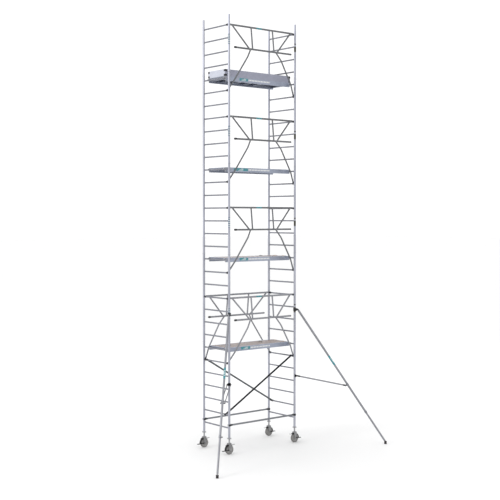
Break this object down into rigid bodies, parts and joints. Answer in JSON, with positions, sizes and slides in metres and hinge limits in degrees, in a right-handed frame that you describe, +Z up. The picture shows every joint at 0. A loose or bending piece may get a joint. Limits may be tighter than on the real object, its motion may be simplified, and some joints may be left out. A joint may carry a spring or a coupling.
{
  "type": "mobile tower scaffold",
  "caption": "Tall narrow aluminium tower on levelling casters, with stacked ladder frames, hatch decks, guard frames on one side and splayed telescopic stabilisers.",
  "frame": {"origin": "middle of the whole footprint on the ground, including the stabilisers, so the tower itself stands 0.704 m behind it", "axes": "+X along the decks to the right, +Y across them away from the stabilisers, +Z up"},
  "size_m": [4.8702, 2.46, 9.463],
  "materials": {
    "frame_aluminium": "matt extruded tube, slightly lavender grey",
    "guard_aluminium": "darker matt extruded tube",
    "brace_aluminium": "dull extruded tube",
    "deck_aluminium": "mill finish extrusion",
    "plywood": "phenolic film faced plywood, reddish brown",
    "toe_board": "grey painted board",
    "zinc_steel": "bright zinc plate",
    "caster_steel": "zinc plated pressing, dull",
    "wheel_grey": "grey non-marking tread",
    "brake_black": "black painted pressing",
    "black_casting": "black coated casting",
    "black_plastic": "moulded",
    "teal_label": "plain coloured sticker with no lettering",
    "rubber": "dark moulded rubber"
  },
  "bodies": {
    "tower": {"left_frame_1": "frame_aluminium", "right_frame_1": "frame_aluminium", "left_frame_2": "frame_aluminium", "right_frame_2": "frame_aluminium", "left_frame_3": "frame_aluminium", "right_frame_3": "frame_aluminium", "left_frame_4": "frame_aluminium", "right_frame_4": "frame_aluminium", "top_frames": "frame_aluminium", "frame_lock_clips": "zinc_steel", "platform_frame_1": "deck_aluminium", "platform_frame_2": "deck_aluminium", "platform_frame_3": "deck_aluminium", "platform_frame_4": "deck_aluminium", "deck_boards": "plywood", "platform_hooks": "zinc_steel", "toe_boards": "toe_board", "toe_board_brackets": "black_plastic", "front_guard_1": "guard_aluminium", "front_guard_2": "guard_aluminium", "front_guard_3": "guard_aluminium", "front_guard_4": "guard_aluminium", "rear_guard_1": "guard_aluminium", "horizontal_braces": "brace_aluminium", "diagonal_braces": "brace_aluminium", "claws_and_caps": "black_casting"},
    "caster_front_left_nut": {"caster_front_left_nut": "zinc_steel"},
    "caster_front_left_leg": {"caster_front_left_spindle": "zinc_steel"},
    "caster_front_left_fork": {"caster_front_left_fork": "caster_steel"},
    "caster_front_left_wheel": {"caster_front_left_wheel": "wheel_grey"},
    "caster_front_left_brake": {"caster_front_left_brake": "brake_black"},
    "caster_front_right_nut": {"caster_front_right_nut": "zinc_steel"},
    "caster_front_right_leg": {"caster_front_right_spindle": "zinc_steel"},
    "caster_front_right_fork": {"caster_front_right_fork": "caster_steel"},
    "caster_front_right_wheel": {"caster_front_right_wheel": "wheel_grey"},
    "caster_front_right_brake": {"caster_front_right_brake": "brake_black"},
    "caster_rear_left_nut": {"caster_rear_left_nut": "zinc_steel"},
    "caster_rear_left_leg": {"caster_rear_left_spindle": "zinc_steel"},
    "caster_rear_left_fork": {"caster_rear_left_fork": "caster_steel"},
    "caster_rear_left_wheel": {"caster_rear_left_wheel": "wheel_grey"},
    "caster_rear_left_brake": {"caster_rear_left_brake": "brake_black"},
    "caster_rear_right_nut": {"caster_rear_right_nut": "zinc_steel"},
    "caster_rear_right_leg": {"caster_rear_right_spindle": "zinc_steel"},
    "caster_rear_right_fork": {"caster_rear_right_fork": "caster_steel"},
    "caster_rear_right_wheel": {"caster_rear_right_wheel": "wheel_grey"},
    "caster_rear_right_brake": {"caster_rear_right_brake": "brake_black"},
    "stabiliser_left_coupler": {"stabiliser_left_coupler": "black_casting"},
    "stabiliser_left_outer_tube": {"stabiliser_left_outer_tube": "guard_aluminium"},
    "stabiliser_left_inner_tube": {"stabiliser_left_inner_tube": "guard_aluminium"},
    "stabiliser_left_arm": {"stabiliser_left_arm": "guard_aluminium"},
    "stabiliser_left_foot": {"stabiliser_left_foot": "rubber"},
    "stabiliser_right_coupler": {"stabiliser_right_coupler": "black_casting"},
    "stabiliser_right_outer_tube": {"stabiliser_right_outer_tube": "guard_aluminium"},
    "stabiliser_right_inner_tube": {"stabiliser_right_inner_tube": "guard_aluminium"},
    "stabiliser_right_arm": {"stabiliser_right_arm": "guard_aluminium"},
    "stabiliser_right_foot": {"stabiliser_right_foot": "rubber"},
    "hatch_1": {"hatch_1": "plywood"},
    "hatch_2": {"hatch_2": "plywood"},
    "hatch_3": {"hatch_3": "plywood"},
    "hatch_4": {"hatch_4": "plywood"}
  },
  "joints": [
    {"name": "caster_front_left_leg_slide", "type": "slide", "parent": "tower", "child": "caster_front_left_leg", "axis": [0, 0, 1], "range_m": [-0.2, 0.072]},
    {"name": "caster_front_left_nut_turn", "type": "hinge", "parent": "tower", "child": "caster_front_left_nut", "pos_m": [-0.95, 0.254, 0.325], "axis": [0, 0, 1], "range_deg": [-9020, 3260]},
    {"name": "caster_front_left_swivel", "type": "hinge", "parent": "caster_front_left_leg", "child": "caster_front_left_fork", "pos_m": [-0.95, 0.254, 0.243], "axis": [0, 0, 1], "continuous": true},
    {"name": "caster_front_left_roll", "type": "hinge", "parent": "caster_front_left_fork", "child": "caster_front_left_wheel", "pos_m": [-0.95, 0.254, 0.1], "axis": [0, 1, 0], "continuous": true},
    {"name": "caster_front_left_brake_pedal", "type": "hinge", "parent": "caster_front_left_fork", "child": "caster_front_left_brake", "pos_m": [-0.95, 0.254, 0.1], "axis": [0, 1, 0], "range_deg": [0, 7]},
    {"name": "caster_front_right_leg_slide", "type": "slide", "parent": "tower", "child": "caster_front_right_leg", "axis": [0, 0, 1], "range_m": [-0.2, 0.072]},
    {"name": "caster_front_right_nut_turn", "type": "hinge", "parent": "tower", "child": "caster_front_right_nut", "pos_m": [0.95, 0.254, 0.325], "axis": [0, 0, 1], "range_deg": [-9020, 3260]},
    {"name": "caster_front_right_swivel", "type": "hinge", "parent": "caster_front_right_leg", "child": "caster_front_right_fork", "pos_m": [0.95, 0.254, 0.243], "axis": [0, 0, 1], "continuous": true},
    {"name": "caster_front_right_roll", "type": "hinge", "parent": "caster_front_right_fork", "child": "caster_front_right_wheel", "pos_m": [0.95, 0.254, 0.1], "axis": [0, 1, 0], "continuous": true},
    {"name": "caster_front_right_brake_pedal", "type": "hinge", "parent": "caster_front_right_fork", "child": "caster_front_right_brake", "pos_m": [0.95, 0.254, 0.1], "axis": [0, -1, 0], "range_deg": [0, 7]},
    {"name": "caster_rear_left_leg_slide", "type": "slide", "parent": "tower", "child": "caster_rear_left_leg", "axis": [0, 0, 1], "range_m": [-0.2, 0.072]},
    {"name": "caster_rear_left_nut_turn", "type": "hinge", "parent": "tower", "child": "caster_rear_left_nut", "pos_m": [-0.95, 1.154, 0.325], "axis": [0, 0, 1], "range_deg": [-9020, 3260]},
    {"name": "caster_rear_left_swivel", "type": "hinge", "parent": "caster_rear_left_leg", "child": "caster_rear_left_fork", "pos_m": [-0.95, 1.154, 0.243], "axis": [0, 0, 1], "continuous": true},
    {"name": "caster_rear_left_roll", "type": "hinge", "parent": "caster_rear_left_fork", "child": "caster_rear_left_wheel", "pos_m": [-0.95, 1.154, 0.1], "axis": [0, 1, 0], "continuous": true},
    {"name": "caster_rear_left_brake_pedal", "type": "hinge", "parent": "caster_rear_left_fork", "child": "caster_rear_left_brake", "pos_m": [-0.95, 1.154, 0.1], "axis": [0, 1, 0], "range_deg": [0, 7]},
    {"name": "caster_rear_right_leg_slide", "type": "slide", "parent": "tower", "child": "caster_rear_right_leg", "axis": [0, 0, 1], "range_m": [-0.2, 0.072]},
    {"name": "caster_rear_right_nut_turn", "type": "hinge", "parent": "tower", "child": "caster_rear_right_nut", "pos_m": [0.95, 1.154, 0.325], "axis": [0, 0, 1], "range_deg": [-9020, 3260]},
    {"name": "caster_rear_right_swivel", "type": "hinge", "parent": "caster_rear_right_leg", "child": "caster_rear_right_fork", "pos_m": [0.95, 1.154, 0.243], "axis": [0, 0, 1], "continuous": true},
    {"name": "caster_rear_right_roll", "type": "hinge", "parent": "caster_rear_right_fork", "child": "caster_rear_right_wheel", "pos_m": [0.95, 1.154, 0.1], "axis": [0, 1, 0], "continuous": true},
    {"name": "caster_rear_right_brake_pedal", "type": "hinge", "parent": "caster_rear_right_fork", "child": "caster_rear_right_brake", "pos_m": [0.95, 1.154, 0.1], "axis": [0, -1, 0], "range_deg": [0, 7]},
    {"name": "stabiliser_left_swing", "type": "hinge", "parent": "tower", "child": "stabiliser_left_coupler", "pos_m": [-0.95, 0.254, 3.033], "axis": [0, 0, 1], "range_deg": [-45, 45]},
    {"name": "stabiliser_left_lift", "type": "hinge", "parent": "stabiliser_left_coupler", "child": "stabiliser_left_outer_tube", "pos_m": [-1.00091, 0.20309, 3.033], "axis": [-0.7071, 0.7071, 0], "range_deg": [0, 30]},
    {"name": "stabiliser_left_extend", "type": "slide", "parent": "stabiliser_left_outer_tube", "child": "stabiliser_left_inner_tube", "axis": [-0.392, -0.392, -0.8323], "range_m": [-0.45, 0.3]},
    {"name": "stabiliser_left_foot_tilt", "type": "hinge", "parent": "stabiliser_left_inner_tube", "child": "stabiliser_left_foot", "pos_m": [-2.40664, -1.20264, 0.048], "axis": [-0.7071, 0.7071, 0], "range_deg": [-25, 25]},
    {"name": "stabiliser_left_arm_fold", "type": "hinge", "parent": "stabiliser_left_outer_tube", "child": "stabiliser_left_arm", "pos_m": [-1.77207, -0.56807, 1.31431], "axis": [0.7071, -0.7071, 0], "range_deg": [0, 40]},
    {"name": "stabiliser_right_swing", "type": "hinge", "parent": "tower", "child": "stabiliser_right_coupler", "pos_m": [0.95, 0.254, 3.033], "axis": [0, 0, 1], "range_deg": [-45, 45]},
    {"name": "stabiliser_right_lift", "type": "hinge", "parent": "stabiliser_right_coupler", "child": "stabiliser_right_outer_tube", "pos_m": [1.00091, 0.20309, 3.033], "axis": [-0.7071, -0.7071, 0], "range_deg": [0, 30]},
    {"name": "stabiliser_right_extend", "type": "slide", "parent": "stabiliser_right_outer_tube", "child": "stabiliser_right_inner_tube", "axis": [0.392, -0.392, -0.8323], "range_m": [-0.45, 0.3]},
    {"name": "stabiliser_right_foot_tilt", "type": "hinge", "parent": "stabiliser_right_inner_tube", "child": "stabiliser_right_foot", "pos_m": [2.40664, -1.20264, 0.048], "axis": [-0.7071, -0.7071, 0], "range_deg": [-25, 25]},
    {"name": "stabiliser_right_arm_fold", "type": "hinge", "parent": "stabiliser_right_outer_tube", "child": "stabiliser_right_arm", "pos_m": [1.77207, -0.56807, 1.31431], "axis": [0.7071, 0.7071, 0], "range_deg": [0, 40]},
    {"name": "hatch_1_lift", "type": "hinge", "parent": "tower", "child": "hatch_1", "pos_m": [0.882, 0.704, 2.291], "axis": [0, 1, 0], "range_deg": [0, 85]},
    {"name": "hatch_2_lift", "type": "hinge", "parent": "tower", "child": "hatch_2", "pos_m": [0.882, 0.704, 4.251], "axis": [0, 1, 0], "range_deg": [0, 85]},
    {"name": "hatch_3_lift", "type": "hinge", "parent": "tower", "child": "hatch_3", "pos_m": [0.882, 0.704, 6.211], "axis": [0, 1, 0], "range_deg": [0, 85]},
    {"name": "hatch_4_lift", "type": "hinge", "parent": "tower", "child": "hatch_4", "pos_m": [0.882, 0.704, 8.171], "axis": [0, 1, 0], "range_deg": [0, 85]}
  ],
  "couplings": [
    {"joint": "caster_front_left_nut_turn", "follows": "caster_front_left_leg_slide", "rad_per_m": 785.4},
    {"joint": "caster_front_right_nut_turn", "follows": "caster_front_right_leg_slide", "rad_per_m": 785.4},
    {"joint": "caster_rear_left_nut_turn", "follows": "caster_rear_left_leg_slide", "rad_per_m": 785.4},
    {"joint": "caster_rear_right_nut_turn", "follows": "caster_rear_right_leg_slide", "rad_per_m": 785.4}
  ]
}
